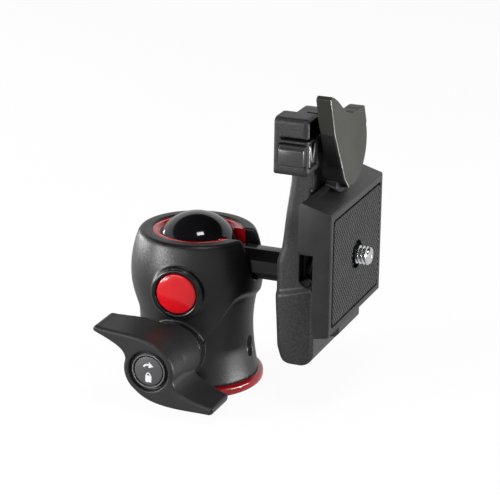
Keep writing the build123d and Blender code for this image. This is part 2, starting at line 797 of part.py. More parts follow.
with BuildPart() as plate:
    with BuildSketch(Plane.XZ):
        Polygon(
            (plate_front_x, plate_low_z),
            (plate_front_x, plate_high_z),
            (foot_back_x + 1, flank_z(foot_back_x + 1)),
            (foot_back_x, flank_z(foot_back_x + 1) - 1),
            (foot_back_x, foot_low_z),
            (flange_back_x, foot_low_z),
            (flange_back_x, low_corner_z),
            (low_corner_x, low_flank_z(low_corner_x)),
            align=None,
        )
    extrude(amount=plate_half_y, both=True)
    fillet(plate.edges().filter_by(Axis.X), plate_round)
    # floor of the rubber pad
    with BuildSketch(plate_plane.offset(pad_floor_x)):
        RectangleRounded(
            2 * (plate_half_y - pad_margin),
            2 * (plate_half_z - pad_margin),
            plate_round,
        )
    extrude(amount=pad_front_x, mode=Mode.SUBTRACT)
    # screw hole, the clip's seat and room for the screw's head beside the foot
    with BuildSketch(plate_plane.offset(foot_back_x)):
        Circle(camera_screw_r + running_gap)
    extrude(amount=plate_front_x, mode=Mode.SUBTRACT)
    with BuildSketch(plate_plane.offset(pad_floor_x - screw_clip_h)):
        Circle(screw_clip_r + running_gap)
    extrude(amount=screw_clip_h, mode=Mode.SUBTRACT)
    with BuildSketch(plate_plane.offset(foot_back_x)):
        Circle(camera_head_r + free_gap)
    extrude(amount=flange_back_x - foot_back_x, mode=Mode.SUBTRACT)
    chamfer(plate.faces().sort_by(Axis.X)[-1].outer_wire().edges(), edge_break)

with BuildPart() as plate_pad:
    with BuildSketch(plate_plane.offset(pad_floor_x)):
        RectangleRounded(
            2 * (plate_half_y - pad_margin - pad_groove),
            2 * (plate_half_z - pad_margin - pad_groove),
            plate_round,
        )
        Circle(pad_hole_r, mode=Mode.SUBTRACT)
    extrude(amount=pad_front_x - pad_floor_x)

with BuildPart() as camera_screw:
    camera_head_x = flange_back_x - running_gap
    with BuildSketch(plate_plane.offset(camera_head_x)):
        Circle(camera_screw_r)
    extrude(amount=camera_screw_tip_x - camera_head_x)
    chamfer(camera_screw.faces().sort_by(Axis.X)[-1].edges(), edge_break)
    with BuildSketch(plate_plane.offset(camera_head_x)):
        Circle(camera_head_r)
    extrude(amount=-camera_head_h)
    with BuildSketch(plate_plane.offset(camera_head_x - camera_head_h)):
        Rectangle(2 * camera_head_r, camera_slot_w)
    extrude(amount=camera_slot_depth, mode=Mode.SUBTRACT)
    # groove of the clip that keeps the screw in the plate
    with BuildSketch(plate_plane.offset(pad_floor_x - screw_clip_h)):
        Circle(camera_screw_r + 1)
        Circle(camera_screw_r - screw_clip_groove, mode=Mode.SUBTRACT)
    extrude(amount=screw_clip_h, mode=Mode.SUBTRACT)

with BuildPart() as screw_clip:
    with BuildSketch(plate_plane.offset(pad_floor_x - screw_clip_h + press_gap)):
        Circle(screw_clip_r)
        Circle(camera_screw_r - screw_clip_groove + running_gap, mode=Mode.SUBTRACT)
    extrude(amount=screw_clip_h - 2 * press_gap)

# ================================================================ platform body
trigger_back_x = foot_back_x - press_gap - trigger_len
trigger_bore_floor_x = trigger_back_x - trigger_travel - trigger_spring_room
catch_x = (catch_low_x + catch_high_x) / 2
catch_z = catch_low_z + catch_h / 2
catch_w = catch_high_x - catch_low_x
catch_spring_x = catch_x - catch_spring_shift
catch_slot_floor_y = catch_back_y + catch_travel + slide_gap
catch_bore_floor_y = catch_back_y + catch_spring_len
seat_x = foot_back_x - slide_gap
ledge_x = flange_back_x - slide_gap

with BuildPart() as platform:
    # rib behind the plate, with the rounded nose below
    with BuildSketch(Plane.XZ) as rib:
        with BuildLine():
            Polyline(
                (seat_x, body_top_z),
                (body_back_top_x, body_top_z),
                (body_back_mid_x, body_back_mid_z),
                (neck_end_x + press_gap, ball_z + neck_corner_r),
                (neck_end_x + press_gap, ball_z - neck_corner_r),
                (body_low_x, body_low_z),
                (body_low_x + nose_lean, nose_z),
                (body_front_low_x, nose_z),
                (body_front_low_x, shoulder_z - shoulder_chamfer),
                (body_front_low_x - shoulder_chamfer, shoulder_z),
                (body_inner_x + shoulder_run, shoulder_z),
                (body_inner_x, shoulder_z + shoulder_chamfer),
                (body_inner_x, seat_low_z - shoulder_chamfer),
                (seat_x, seat_low_z),
                close=True,
            )
        make_face()
        fillet(rib.vertices().group_by(Axis.Y)[0], nose_round)
    extrude(amount=body_half_y, both=True)
    sides = platform.faces().sort_by(Axis.Y)
    fillet(sides[0].edges() + sides[-1].edges(), body_round)
    # head for the lever's pin
    with BuildSketch(Plane.YZ.offset(head_back_x)):
        with Locations((pin_y, pin_z)):
            Circle(head_r)
        with Locations(((ear_high_y + pin_y) / 2, pin_z)):
            Rectangle(pin_y - ear_high_y, 2 * head_r)
    extrude(amount=head_front_x - head_back_x)
    # ear with the safety catch
    with BuildSketch(Plane.YZ.offset(ear_low_x)):
        with Locations(((ear_low_y + ear_high_y) / 2, (ear_low_z + ear_high_z) / 2)):
            RectangleRounded(ear_high_y - ear_low_y, ear_high_z - ear_low_z, ear_round)
    extrude(amount=ear_high_x - ear_low_x)
    # fixed jaw and the ledge under the plate's flange
    with BuildSketch(Plane.XZ.offset(-jaw_high_y)):
        Polygon(
            (body_inner_x, jaw_low_z),
            (jaw_front_x - jaw_round, jaw_low_z),
            (jaw_front_x, jaw_low_z + jaw_round),
            (jaw_front_x, low_flank_z(jaw_front_x) - slide_gap),
            (low_corner_x - free_gap, low_flank_z(low_corner_x) - 2 * slide_gap),
            (ledge_x, low_corner_z - jaw_round),
            (ledge_x, jaw_ledge_top_z),
            (body_inner_x, jaw_ledge_top_z),
            align=None,
        )
    extrude(amount=jaw_high_y - jaw_low_y)
    # neck bolt: tongue bore, clearance hole and the head's counterbore
    with BuildSketch(neck_plane.offset(neck_end_x - 1)):
        Circle(neck_tongue_r + press_gap)
    extrude(amount=neck_tongue_len + 1 + press_gap, mode=Mode.SUBTRACT)
    with BuildSketch(neck_plane.offset(neck_end_x)):
        Circle(neck_bolt_r + running_gap)
    extrude(amount=base_r, mode=Mode.SUBTRACT)
    with BuildSketch(neck_plane.offset(bolt_seat_x)):
        Circle(neck_washer_r + slide_gap)
    extrude(amount=base_r, mode=Mode.SUBTRACT)
    # lever pin bore with the head's counterbore at the back
    with BuildSketch(pin_plane.offset(head_back_x)):
        Circle(pin_r + press_gap)
    extrude(amount=head_r, mode=Mode.SUBTRACT)
    with BuildSketch(pin_plane.offset(head_back_x)):
        Circle(pin_head_r + press_gap)
    extrude(amount=pin_head_h, mode=Mode.SUBTRACT)
    # slot of the safety catch, its spring's bore and the slit above it
    with BuildSketch(Plane.XZ.offset(-catch_out_y)):
        with Locations((catch_x, catch_z)):
            Rectangle(catch_w + 2 * slide_gap, catch_h + 2 * slide_gap)
    extrude(amount=-(catch_slot_floor_y - catch_out_y), mode=Mode.SUBTRACT)
    with BuildSketch(Plane.XZ.offset(-catch_slot_floor_y)):
        with Locations((catch_spring_x, catch_z)):
            Circle(catch_spring_r + catch_spring_wire_r + slide_gap)
    extrude(amount=-(catch_bore_floor_y - catch_slot_floor_y), mode=Mode.SUBTRACT)
    with BuildSketch(Plane.XZ.offset(-ear_low_y)):
        with Locations(((catch_low_x + ear_high_x + 1) / 2, slit_low_z + slit_h / 2)):
            Rectangle(ear_high_x + 1 - catch_low_x, slit_h)
    extrude(amount=-slit_depth, mode=Mode.SUBTRACT)
    # bore of the trigger pin
    with BuildSketch(trigger_plane.offset(trigger_bore_floor_x)):
        Circle(trigger_r + running_gap)
    extrude(amount=seat_x, mode=Mode.SUBTRACT)

# ================================================================ lever
cam_start = radians(270 - cam_half_angle)
cam_plane = Plane((0, pin_y, pin_z), x_dir=(1, 0, 0), z_dir=(0, -sin(cam_start), cos(cam_start)))

with BuildPart() as lever:
    # round hub on the pin
    with BuildSketch(pin_plane.offset(hub_back_x)):
        Circle(hub_r)
    extrude(amount=lever_front_x - hub_back_x)
    # cam lobe that bears on the plate's flank
    with BuildSketch(cam_plane):
        Polygon(
            (hub_back_x, 0),
            (cam_front_x, 0),
            (cam_front_x, pin_z - flank_z(cam_front_x) - running_gap),
            (hub_back_x, pin_z - flank_z(hub_back_x) - running_gap),
            align=None,
        )
    revolve(axis=Axis((0, pin_y, pin_z), (1, 0, 0)), revolution_arc=2 * cam_half_angle)
    # horn for the thumb, with the dip in its top
    ridge_points = outline(hub_r, ((-0.373, -1.0), (-0.992, -0.238), (-1.619, 0.778), (-2.0, 1.778)))
    dip_points = outline(
        hub_r, ((-1.889, 1.849), (-1.032, 1.397), (-0.159, 0.984), (0.437, 1.0), (0.73, 0.968))
    )
    with BuildSketch(pin_plane.offset(horn_back_x)):
        with BuildLine():
            ridge = Spline(ridge_points)
            tip = Line(ridge @ 1, dip_points[0])
            dip = Spline(dip_points)
            Polyline(dip @ 1, *outline(hub_r, ((0.929, 0.508), (0.794, -0.603))), ridge @ 0)
        make_face()
    extrude(amount=lever_front_x - horn_back_x)
    # blind bore for the pin
    with BuildSketch(pin_plane.offset(hub_back_x)):
        Circle(pin_r + running_gap)
    extrude(amount=pin_front_x + press_gap - hub_back_x, mode=Mode.SUBTRACT)

with BuildPart() as lever_pin:
    with BuildSketch(pin_plane.offset(head_back_x + press_gap)):
        Circle(pin_head_r)
    extrude(amount=pin_head_h - 2 * press_gap)
    with BuildSketch(pin_plane.offset(head_back_x + press_gap)):
        Circle(pin_r)
    extrude(amount=pin_front_x - head_back_x - press_gap)
    chamfer(lever_pin.faces().sort_by(Axis.X)[-1].edges(), edge_break)

spring_room = hub_back_x - head_front_x - 2 * spring_wire_r - 4 * running_gap
lever_spring = coil(
    spring_wire_r,
    spring_coil_r,
    spring_room,
    2,
    Plane((head_front_x + spring_wire_r + 2 * running_gap, pin_y, pin_z), x_dir=(0, 1, 0), z_dir=(1, 0, 0)),
)

# ================================================================ safety catch and trigger
with BuildPart() as safety_catch:
    with BuildSketch(Plane.XZ.offset(-catch_out_y)):
        with Locations((catch_x, catch_z)):
            Rectangle(catch_w, catch_h)
    extrude(amount=-(catch_back_y - catch_out_y))
    fillet(safety_catch.faces().sort_by(Axis.Y)[0].edges(), edge_break)

catch_spring = coil(
    catch_spring_wire_r,
    catch_spring_r,
    catch_bore_floor_y - catch_back_y - 2 * catch_spring_wire_r - 2 * running_gap,
    5,
    Plane(
        (catch_spring_x, catch_back_y + catch_spring_wire_r + running_gap, catch_z),
        x_dir=(1, 0, 0),
        z_dir=(0, 1, 0),
    ),
)

with BuildPart() as trigger_pin:
    with BuildSketch(trigger_plane.offset(trigger_back_x)):
        Circle(trigger_r)
    extrude(amount=trigger_len)
    chamfer(trigger_pin.faces().sort_by(Axis.X)[-1].edges(), edge_break)

trigger_spring = coil(
    trigger_spring_wire_r,
    trigger_spring_r,
    trigger_back_x - trigger_bore_floor_x - 2 * trigger_spring_wire_r - 2 * running_gap,
    4,
    Plane(
        (trigger_bore_floor_x + trigger_spring_wire_r + running_gap, trigger_y, trigger_z),
        x_dir=(0, 1, 0),
        z_dir=(1, 0, 0),
    ),
)

# ================================================================ export
parts = {
    "base_ring": base_ring.part,
    "base_plate": base_plate.part,
    "thread_bush": thread_bush.part,
    "housing": housing.part,
    "collar_ring": collar_ring.part,
    "badge": badge.part,
    "stop_screw": stop_screw.part,
    "shaft_bush": shaft_bush.part,
    "wedge": wedge.part,
    "ball_cup": ball_cup.part,
    "knob": knob.part,
    "knob_shaft": knob_shaft.part,
    "shaft_clip": shaft_clip.part,
    "knob_washer": knob_washer.part,
    "knob_screw": knob_screw.part,
    "knob_cap": knob_cap.part,
    "ball": ball.part,
    "ball_core": ball_core.part,
    "neck": neck.part,
    "neck_bolt": neck_bolt.part,
    "neck_washer": neck_washer.part,
    "platform": platform.part,
    "lever": lever.part,
    "lever_pin": lever_pin.part,
    "lever_spring": lever_spring,
    "safety_catch": safety_catch.part,
    "catch_spring": catch_spring,
    "trigger_pin": trigger_pin.part,
    "trigger_spring": trigger_spring,
    "plate": plate.part,
    "plate_pad": plate_pad.part,
    "camera_screw": camera_screw.part,
    "screw_clip": screw_clip.part,
}
for number, screw in enumerate(base_screws, start=1):
    parts[f"base_screw_{number}"] = screw

os.makedirs("parts", exist_ok=True)
for name, piece in parts.items():
    piece.label = name
    export_step(piece, f"parts/{name}.step")
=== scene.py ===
from math import cos, degrees, pi, radians, sin, sqrt

import bmesh
import bpy
from mathutils import Matrix, Vector


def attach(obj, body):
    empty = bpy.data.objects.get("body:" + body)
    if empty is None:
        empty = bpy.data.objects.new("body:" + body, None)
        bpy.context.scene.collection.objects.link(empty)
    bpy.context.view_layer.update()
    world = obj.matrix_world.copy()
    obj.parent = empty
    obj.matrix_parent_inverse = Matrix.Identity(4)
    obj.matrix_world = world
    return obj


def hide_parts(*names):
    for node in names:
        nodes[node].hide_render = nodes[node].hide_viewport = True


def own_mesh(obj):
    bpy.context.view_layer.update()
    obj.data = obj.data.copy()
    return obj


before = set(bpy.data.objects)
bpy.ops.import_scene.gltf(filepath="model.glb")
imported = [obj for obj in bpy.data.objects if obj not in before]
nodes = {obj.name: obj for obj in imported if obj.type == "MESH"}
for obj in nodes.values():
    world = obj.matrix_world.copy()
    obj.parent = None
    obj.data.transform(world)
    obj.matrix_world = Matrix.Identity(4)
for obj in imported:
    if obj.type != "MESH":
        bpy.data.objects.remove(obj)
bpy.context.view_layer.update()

# Ball head with a quick-release plate. Sizes in millimetres, turned to metres by mm.
mm = 0.001
knob_axis_z = 16.7
plate_centre_z = 53.2


# ---------------------------------------------------------------- camera, floor and lamps
camera_place = Vector((0.2908, -0.6936, 0.3085))
camera_turn = radians(21.36)
camera_drop = radians(19.20)
camera_roll = radians(0.88)
camera_lens = 165.3

lamp_target = Vector((0.012, 0, 0.05))
# The name, the place and size in metres, and the power in watts of each soft box.
lamps = [
    ("left_low", (-0.66, 0.1, 0.1), (0.5, 0.16), 3.4),
    ("left_key", (-0.6, -0.52, 0.22), (0.22, 0.36), 6.6),
    ("right_low", (0.62, 0.12, 0.04), (0.4, 0.07), 5.0),
    ("right_key", (0.68, -0.05, 0.33), (0.25, 0.3), 0.9),
    ("front_soft", (-0.2, -0.86, 0.38), (0.5, 0.25), 1.3),
    ("front_low", (-0.38, -0.62, 0.06), (0.22, 0.09), 1.6),
    ("top_box", (0.22, -0.24, 0.95), (0.26, 0.14), 2.2),
]

world_light = 0.14
# The mirrored horizon: its height in the world, from the middle up, and its light at both ends.
horizon_low, horizon_high = 0.5, 0.62
horizon_light, overhead_light = 1.1, 0.04
floor_half_width = 4
# How pale the floor's matt part is to the head, and to the eye.
floor_pale_unseen, floor_pale_seen = 0.22, 0.5
# The light of the floor's plain white part, and its share of the floor where that is seen or mirrored.
floor_white_light = 1.1
floor_white_seen, floor_white_mirrored = 0.85, 0.55


def shader_node(tree, kind, values=None, **settings):
    """A shader node with its settings and the fixed values of its sockets."""
    node = tree.nodes.new("ShaderNode" + kind)
    for name, value in settings.items():
        setattr(node, name, value)
    for socket, value in (values or {}).items():
        node.inputs[socket].default_value = value
    return node


def make_camera():
    """The camera looks down on the head from the front right."""
    camera = bpy.data.objects.new("camera", bpy.data.cameras.new("camera"))
    bpy.context.scene.collection.objects.link(camera)
    camera.data.lens = camera_lens
    camera.data.sensor_width = 36
    turn = Matrix.Rotation(camera_turn, 4, "Z") @ Matrix.Rotation(pi / 2 - camera_drop, 4, "X")
    roll = Matrix.Rotation(camera_roll, 4, "Z")
    camera.matrix_world = Matrix.Translation(camera_place) @ turn @ roll
    bpy.context.scene.camera = camera


def make_lamp(name, place, size, power):
    """A soft box that faces the head."""
    lamp = bpy.data.objects.new(name, bpy.data.lights.new(name, "AREA"))
    bpy.context.scene.collection.objects.link(lamp)
    lamp.data.shape = "RECTANGLE"
    lamp.data.size, lamp.data.size_y = size
    lamp.data.energy = power
    lamp.location = place
    lamp.rotation_euler = (lamp_target - Vector(place)).to_track_quat("-Z", "Y").to_euler()


def make_world():
    """White round the horizon where it is seen or mirrored, and a plain even light elsewhere."""
    world = bpy.data.worlds.new("studio")
    bpy.context.scene.world = world
    world.use_nodes = True
    tree = world.node_tree
    tree.nodes.clear()
    link = tree.links.new
    path = shader_node(tree, "LightPath")
    even = shader_node(tree, "Background", {"Color": (0.96, 0.98, 1.0, 1), "Strength": world_light})
    white = shader_node(tree, "Background", {"Strength": 1.0})
    horizon = shader_node(tree, "Background")
    where = shader_node(tree, "TexCoord")
    split = shader_node(tree, "SeparateXYZ")
    link(where.outputs["Generated"], split.inputs[0])
    fade = shader_node(tree, "MapRange", {"From Min": horizon_low, "From Max": horizon_high,
                                          "To Min": horizon_light, "To Max": overhead_light},
                       interpolation_type="SMOOTHSTEP")
    link(split.outputs["Z"], fade.inputs["Value"])
    link(fade.outputs["Result"], horizon.inputs["Strength"])
    seen = shader_node(tree, "MixShader")
    link(path.outputs["Is Camera Ray"], seen.inputs[0])
    link(horizon.outputs[0], seen.inputs[1])
    link(white.outputs[0], seen.inputs[2])
    mirrored = shader_node(tree, "Math", operation="MAXIMUM")
    link(path.outputs["Is Transmission Ray"], mirrored.inputs[0])
    link(path.outputs["Is Glossy Ray"], mirrored.inputs[1])
    shown = shader_node(tree, "Math", operation="MAXIMUM")
    link(path.outputs["Is Camera Ray"], shown.inputs[0])
    link(mirrored.outputs[0], shown.inputs[1])
    mix = shader_node(tree, "MixShader")
    link(shown.outputs[0], mix.inputs[0])
    link(even.outputs[0], mix.inputs[1])
    link(seen.outputs[0], mix.inputs[2])
    out = shader_node(tree, "OutputWorld")
    link(mix.outputs[0], out.inputs["Surface"])


def make_floor():
    """A pale floor that keeps the head's shadow."""
    floor_mesh = bpy.data.meshes.new("floor")
    shape = bmesh.new()
    bmesh.ops.create_grid(shape, x_segments=1, y_segments=1, size=floor_half_width)
    shape.to_mesh(floor_mesh)
    shape.free()
    floor = bpy.data.objects.new("floor", floor_mesh)
    bpy.context.scene.collection.objects.link(floor)
    paint = bpy.data.materials.new("floor_white")
    paint.use_nodes = True
    tree = paint.node_tree
    tree.nodes.clear()
    link = tree.links.new
    path = shader_node(tree, "LightPath")
    matt = shader_node(tree, "BsdfDiffuse")
    bright = shader_node(tree, "Emission", {"Color": (1, 1, 1, 1), "Strength": floor_white_light})
    pale = shader_node(tree, "MapRange", {"To Min": floor_pale_unseen, "To Max": floor_pale_seen})
    link(path.outputs["Is Camera Ray"], pale.inputs["Value"])
    link(pale.outputs["Result"], matt.inputs["Color"])
    mirrored = shader_node(tree, "Math", {1: floor_white_mirrored}, operation="MULTIPLY")
    link(path.outputs["Is Glossy Ray"], mirrored.inputs[0])
    share = shader_node(tree, "Math", {1: floor_white_seen}, operation="MULTIPLY_ADD")
    link(path.outputs["Is Camera Ray"], share.inputs[0])
    link(mirrored.outputs[0], share.inputs[2])
    mix = shader_node(tree, "MixShader")
    link(share.outputs[0], mix.inputs[0])
    link(matt.outputs[0], mix.inputs[1])
    link(bright.outputs[0], mix.inputs[2])
    out = shader_node(tree, "OutputMaterial")
    link(mix.outputs[0], out.inputs["Surface"])
    floor_mesh.materials.append(paint)


make_camera()
make_world()
make_floor()
for lamp_facts in lamps:
    make_lamp(*lamp_facts)
bpy.context.scene.view_settings.view_transform = "Standard"


# ---------------------------------------------------------------- finishes
# Most of a noise's values lie in this span, over which a finish goes from one end to the other.
noise_low, noise_high = 0.3, 0.7


def finish(
    name,
    colour,
    roughness,
    metallic=0.0,
    specular=0.5,
    coat=0.0,
    grain_size=0.25,
    grain_height=0.0,
    mottle_size=8.0,
    mottle=0.12,
    rough_spread=0.06,
    brushed=(1, 1, 1),
):
    """A painted, moulded or metal surface: mottled colour, uneven gloss and a fine grain."""
    paint = bpy.data.materials.new(name)
    paint.use_nodes = True
    tree = paint.node_tree
    link = tree.links.new
    shader = tree.nodes["Principled BSDF"]
    shader.inputs["Metallic"].default_value = metallic
    shader.inputs["Specular IOR Level"].default_value = specular
    shader.inputs["Coat Weight"].default_value = coat
    shader.inputs["Coat Roughness"].default_value = 0.05
    place = shader_node(tree, "TexCoord")
    stretch = shader_node(tree, "Mapping", {"Scale": brushed})
    link(place.outputs["Object"], stretch.inputs["Vector"])
    cloud = shader_node(tree, "TexNoise", {"Scale": 1 / (mottle_size * mm), "Detail": 4})
    link(stretch.outputs["Vector"], cloud.inputs["Vector"])
    shade = shader_node(tree, "ValToRGB")
    dark, light = shade.color_ramp.elements
    dark.position, light.position = noise_low, noise_high
    dark.color = (*[c * (1 - mottle) for c in colour], 1)
    light.color = (*[min(1, c * (1 + mottle)) for c in colour], 1)
    link(cloud.outputs["Fac"], shade.inputs["Fac"])
    link(shade.outputs["Color"], shader.inputs["Base Color"])
    fine = shader_node(tree, "TexNoise", {"Scale": 1 / (grain_size * mm), "Detail": 2})
    link(stretch.outputs["Vector"], fine.inputs["Vector"])
    gloss = shader_node(tree, "MapRange", {"From Min": noise_low, "From Max": noise_high,
                                           "To Min": max(0.02, roughness - rough_spread),
                                           "To Max": min(1.0, roughness + rough_spread)})
    link(fine.outputs["Fac"], gloss.inputs["Value"])
    link(gloss.outputs["Result"], shader.inputs["Roughness"])
    if grain_height:
        bump = shader_node(tree, "Bump", {"Strength": 1.0, "Distance": grain_height * mm})
        link(fine.outputs["Fac"], bump.inputs["Height"])
        link(bump.outputs["Normal"], shader.inputs["Normal"])
    return paint


cast_black = finish("cast_black", (0.005, 0.005, 0.0055), 0.38, specular=0.38, grain_size=0.45,
                    grain_height=0.045, mottle_size=6, mottle=0.2)
cast_granular = finish("cast_granular", (0.026, 0.026, 0.0265), 0.42, specular=0.28, grain_size=0.4,
                       grain_height=0.07, mottle_size=0.7, mottle=0.45)
lever_grey = finish("lever_grey", (0.031, 0.0305, 0.0265), 0.4, specular=0.17, grain_size=0.3,
                    grain_height=0.012, mottle_size=5, mottle=0.08)
plate_grey = finish("plate_grey", (0.025, 0.025, 0.0255), 0.38, specular=0.15, grain_size=0.3,
                    grain_height=0.014, mottle_size=5)
red_gloss = finish("red_gloss", (0.58, 0.005, 0.01), 0.16, specular=0.3, coat=0.3, mottle=0.06)
red_deep = finish("red_deep", (0.22, 0.003, 0.006), 0.12, specular=0.36, coat=0.2, mottle=0.06)
ball_black = finish("ball_black", (0.004, 0.004, 0.005), 0.07, rough_spread=0.02)
neck_black = finish("neck_black", (0.004, 0.004, 0.0045), 0.2, specular=0.32)
knob_black = finish("knob_black", (0.021, 0.021, 0.0215), 0.4, specular=0.24, grain_height=0.008,
                    mottle_size=7)
# A dark finish painted on where there is shade: over the lever's lower hub and on the screw's stem in the
# pad's hole.
painted_shade_black = finish("painted_shade_black", (0.011, 0.011, 0.011), 0.5, specular=0.18, grain_size=0.4,
                   grain_height=0.02)
# A matt black for the sheet inside the ear's hollow: painted shade.
painted_shade_matt = finish("painted_shade_matt", (0.002, 0.002, 0.002), 0.9, specular=0.05)
cap_grey = finish("cap_grey", (0.06, 0.06, 0.064), 0.4, grain_size=0.3, grain_height=0.006)
trim_grey = finish("trim_grey", (0.2, 0.2, 0.205), 0.28, metallic=0.5)
tab_grey = finish("tab_grey", (0.03, 0.03, 0.03), 0.28, grain_size=0.3, grain_height=0.01)
mark_white = finish("mark_white", (0.75, 0.75, 0.76), 0.5, mottle=0.03)
cup_polymer = finish("cup_polymer", (0.7, 0.69, 0.65), 0.5, mottle=0.05)
pad_rubber = finish("pad_rubber", (0.042, 0.042, 0.042), 0.55, specular=0.18, grain_size=0.3,
                    grain_height=0.02)
base_alloy = finish("base_alloy", (0.5, 0.5, 0.51), 0.38, metallic=1.0, grain_size=0.3,
                    grain_height=0.01)
brass = finish("brass", (0.72, 0.55, 0.25), 0.3, metallic=1.0)
steel = finish("steel", (0.55, 0.55, 0.56), 0.3, metallic=1.0, brushed=(1, 1, 8))
black_steel = finish("black_steel", (0.012, 0.012, 0.0125), 0.42, specular=0.35)
# A bright metal for the strip along the lever's ridge: a painted highlight.
painted_highlight_metal = finish("painted_highlight_metal", (0.6, 0.6, 0.585), 0.42, metallic=1.0, mottle=0.15)
chrome = finish("chrome", (0.7, 0.71, 0.72), 0.15, metallic=1.0, rough_spread=0.04)

node_finish = {
    "base_ring": red_deep,
    "base_plate": base_alloy,
    "thread_bush": brass,
    "base_screw_1": steel,
    "base_screw_2": steel,
    "base_screw_3": steel,
    "housing": cast_black,
    "collar_ring": red_gloss,
    "badge": red_gloss,
    "stop_screw": black_steel,
    "shaft_bush": brass,
    "wedge": steel,
    "ball_cup": cup_polymer,
    "knob": knob_black,
    "knob_shaft": steel,
    "shaft_clip": steel,
    "knob_washer": cup_polymer,
    "knob_screw": steel,
    "knob_cap": cap_grey,
    "ball": ball_black,
    "ball_core": steel,
    "neck": neck_black,
    "neck_bolt": black_steel,
    "neck_washer": steel,
    "platform": cast_granular,
    "lever": lever_grey,
    "lever_pin": black_steel,
    "lever_spring": steel,
    "safety_catch": plate_grey,
    "catch_spring": steel,
    "trigger_pin": steel,
    "trigger_spring": steel,
    "plate": plate_grey,
    "plate_pad": pad_rubber,
    "camera_screw": chrome,
    "screw_clip": black_steel,
}
for node_name, node_paint in node_finish.items():
    for holder in nodes[node_name].material_slots:
        holder.material = node_paint


# ---------------------------------------------------------------- ways of making a piece
# Vertices this near are one: in loose triangles and a spun thread, and in any other shape.
coarse_weld = 0.002
fine_weld = 0.0005
# Edges sharper than this, in degrees, are taken off.
edge_from_angle = 28


def solid_of(node):
    """A merged copy of a CAD node, in millimetres."""
    shape = bmesh.new()
    shape.from_mesh(nodes[node].data)
    bmesh.ops.scale(shape, vec=(1 / mm, 1 / mm, 1 / mm), verts=shape.verts)
    bmesh.ops.remove_doubles(shape, verts=shape.verts, dist=coarse_weld)
    return shape


def mesh_from(name, shape):
    """Puts a shape into a mesh and frees it."""
    mesh = bpy.data.meshes.new(name)
    shape.to_mesh(mesh)
    shape.free()
    return mesh


def add_to(whole, shape):
    """Adds a shape to another and frees it."""
    mesh = mesh_from("part", shape)
    whole.from_mesh(mesh)
    bpy.data.meshes.remove(mesh)


def settle(piece):
    """Applies a piece's modifiers to its mesh."""
    graph = bpy.context.evaluated_depsgraph_get()
    done = bpy.data.meshes.new_from_object(piece.evaluated_get(graph))
    piece.modifiers.clear()
    piece.data = done


def fit_piece(name, shape, body, paint, stands_for=(), crease=35, edge=0.0):
    """Turns a shape in millimetres into a piece that rides on a body."""
    bmesh.ops.remove_doubles(shape, verts=shape.verts, dist=fine_weld)
    bmesh.ops.recalc_face_normals(shape, faces=shape.faces)
    bmesh.ops.scale(shape, vec=(mm, mm, mm), verts=shape.verts)
    mesh = mesh_from(name, shape)
    for face in mesh.polygons:
        face.use_smooth = True
    piece = bpy.data.objects.new(name, mesh)
    bpy.context.scene.collection.objects.link(piece)
    mesh.materials.append(paint)
    if edge:
        soft = piece.modifiers.new("edges", "BEVEL")
        soft.width = edge * mm
        soft.segments = 3
        soft.limit_method = "ANGLE"
        soft.angle_limit = radians(edge_from_angle)
        soft.miter_outer = "MITER_ARC"
        settle(piece)
    piece.data.set_sharp_from_angle(angle=radians(crease))
    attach(piece, body)
    if stands_for:
        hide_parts(*stands_for)
    return piece


def softened(node, body, paint, edge):
    """The CAD node again with the edges taken off."""
    shape = solid_of(node)
    bmesh.ops.dissolve_limit(shape, angle_limit=radians(1.5), verts=shape.verts, edges=shape.edges)
    fit_piece(node + "_worn", shape, body, paint, stands_for=(node,), edge=edge)


def cast_from(name, shapes, voxel, rounds, cuts=()):
    """Joins shapes into one casting with soft edges, less the shapes cut out of it."""
    whole = bmesh.new()
    for shape in shapes:
        add_to(whole, shape)
    rough = bpy.data.objects.new(name + "_rough", mesh_from(name + "_rough", whole))
    bpy.context.scene.collection.objects.link(rough)
    cutters = []
    for shape in cuts:
        cutter = bpy.data.objects.new(name + "_cutter", mesh_from(name + "_cutter", shape))
        bpy.context.scene.collection.objects.link(cutter)
        cutters.append(cutter)
        cut = rough.modifiers.new("cut", "BOOLEAN")
        cut.operation = "DIFFERENCE"
        cut.solver = "EXACT"
        cut.object = cutter
    clay = rough.modifiers.new("clay", "REMESH")
    clay.mode = "VOXEL"
    clay.voxel_size = voxel
    rub = rough.modifiers.new("rub", "SMOOTH")
    rub.factor = 0.5
    rub.iterations = rounds
    settle(rough)
    shape = bmesh.new()
    shape.from_mesh(rough.data)
    for part in [rough] + cutters:
        bpy.data.objects.remove(part)
    return shape


def block(low, high):
    """A block between two corners."""
    shape = bmesh.new()
    low, high = Vector(low), Vector(high)
    bmesh.ops.create_cube(shape, size=1, matrix=Matrix.Translation((low + high) / 2)
                          @ Matrix.Diagonal((*(high - low), 1)))
    return shape


def thicken(shape, way):
    """Draws flat faces out by a way."""
    made = bmesh.ops.extrude_face_region(shape, geom=shape.faces[:])["geom"]
    raised = [g for g in made if isinstance(g, bmesh.types.BMVert)]
    bmesh.ops.translate(shape, vec=way, verts=raised)


def flat_plate(points, low_x, high_x):
    """A plate cut from an outline of (y, z) points and standing between two x."""
    shape = bmesh.new()
    shape.faces.new([shape.verts.new((low_x, y, z)) for y, z in points])
    thicken(shape, (high_x - low_x, 0, 0))
    bmesh.ops.recalc_face_normals(shape, faces=shape.faces)
    return shape


